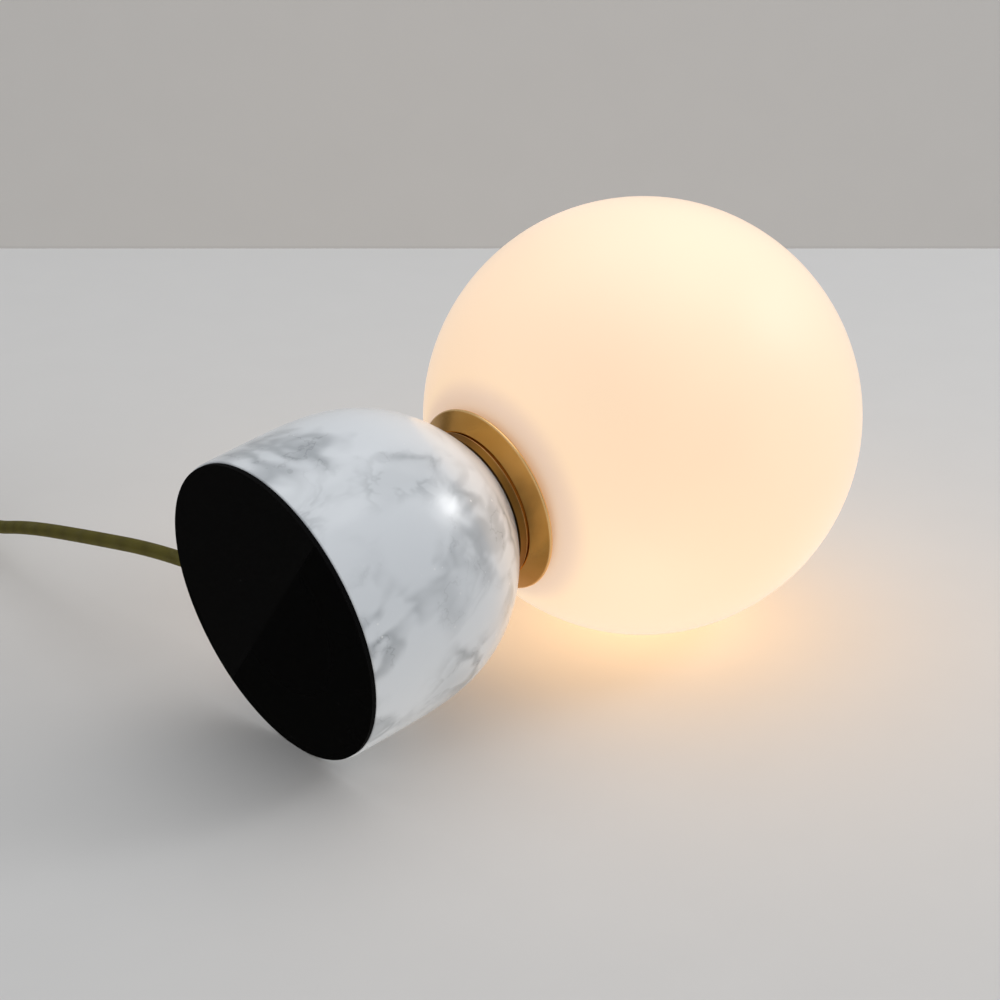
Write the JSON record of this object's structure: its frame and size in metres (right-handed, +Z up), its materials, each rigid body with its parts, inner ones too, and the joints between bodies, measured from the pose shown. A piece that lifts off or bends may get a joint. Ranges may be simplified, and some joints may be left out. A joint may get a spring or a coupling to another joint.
{
  "type": "table lamp",
  "caption": "Globe table lamp: an opal glass ball held in a shallow brass dish on a bell-shaped marble base, with a textile cord, a cord switch and a plug.",
  "frame": {"origin": "centre of the base's underside, on the table", "axes": "+Z up along the lamp's axis, +X towards the cord's exit from the base"},
  "size_m": [0.4925, 0.2646, 0.312],
  "materials": {
    "pad": "black felt",
    "marble": "polished white marble with grey veins",
    "satin_brass": "satin",
    "opal_glass": "satin opal, lit from inside",
    "olive_textile": "braided textile sleeve",
    "black_plastic": "fine matte",
    "rocker_plastic": "gloss",
    "black_rubber": "matte",
    "black_strap": "woven strap",
    "white_plastic": "matte",
    "zinc_steel": "zinc plated",
    "spring_steel": "bright",
    "contact_brass": "bright",
    "nickel": "nickel plated",
    "live_insulation": "brown",
    "neutral_insulation": "blue",
    "silicone": "translucent white",
    "ceramic": "white, unglazed",
    "diffuser": "milky"
  },
  "bodies": {
    "lamp": {"base_pad": "pad", "marble_base": "marble", "cord_bush": "black_plastic", "fixing_plate": "zinc_steel", "threaded_tube": "zinc_steel", "cord_grip_block": "white_plastic", "cord_grip_saddle": "white_plastic", "cord_grip_screws": "zinc_steel", "terminal_block": "white_plastic", "terminal_block_screw": "zinc_steel", "terminal_tubes": "contact_brass", "terminal_screws": "zinc_steel", "cord_core_neutral": "neutral_insulation", "cord_core_live": "live_insulation", "lamp_lead_neutral": "neutral_insulation", "lamp_lead_live": "live_insulation", "neck_cup": "satin_brass", "dish": "satin_brass", "seat_ring": "silicone", "neck_spring": "spring_steel", "holder_hub": "contact_brass", "holder_screws": "zinc_steel", "holder_body": "ceramic", "holder_contacts": "contact_brass", "lower_nut": "zinc_steel", "upper_nut": "zinc_steel", "cord_from_lamp": "olive_textile", "cord_from_switch": "olive_textile", "cord_to_plug": "olive_textile", "cord_coil": "olive_textile", "cord_tie": "black_strap", "switch_base_shell": "black_plastic", "switch_cover_shell": "black_plastic", "switch_pivot_pin": "zinc_steel", "switch_fixed_contact": "contact_brass", "switch_common_contact": "contact_brass", "switch_neutral_link": "contact_brass", "switch_live_cores": "live_insulation", "switch_neutral_cores": "neutral_insulation", "switch_shell_screws": "zinc_steel", "plug_body": "black_plastic", "plug_pins": "nickel", "plug_sleeves": "black_plastic", "plug_relief": "black_rubber"},
    "globe": {"globe_glass": "opal_glass"},
    "bulb": {"bulb_base": "ceramic", "bulb_pins": "nickel", "bulb_core": "ceramic", "bulb_diffuser": "diffuser"},
    "rocker": {"switch_rocker": "rocker_plastic"},
    "seesaw": {"switch_seesaw": "contact_brass"}
  },
  "joints": [
    {"name": "globe_lift", "type": "slide", "parent": "lamp", "child": "globe", "axis": [0, 0, 1], "range_m": [0, 0.12]},
    {"name": "bulb_pull", "type": "slide", "parent": "lamp", "child": "bulb", "axis": [0, 0, 1], "range_m": [0, 0.025]},
    {"name": "rocker_tilt", "type": "hinge", "parent": "lamp", "child": "rocker", "pos_m": [0.3504, 0.0282, 0.015], "axis": [-0.6947, 0.7193, 0], "range_deg": [0, 14]},
    {"name": "seesaw_tilt", "type": "hinge", "parent": "lamp", "child": "seesaw", "pos_m": [0.3504, 0.0282, 0.0044], "axis": [-0.6947, 0.7193, 0], "range_deg": [-14, 0]}
  ],
  "couplings": [
    {"joint": "seesaw_tilt", "follows": "rocker_tilt", "ratio": -1}
  ]
}
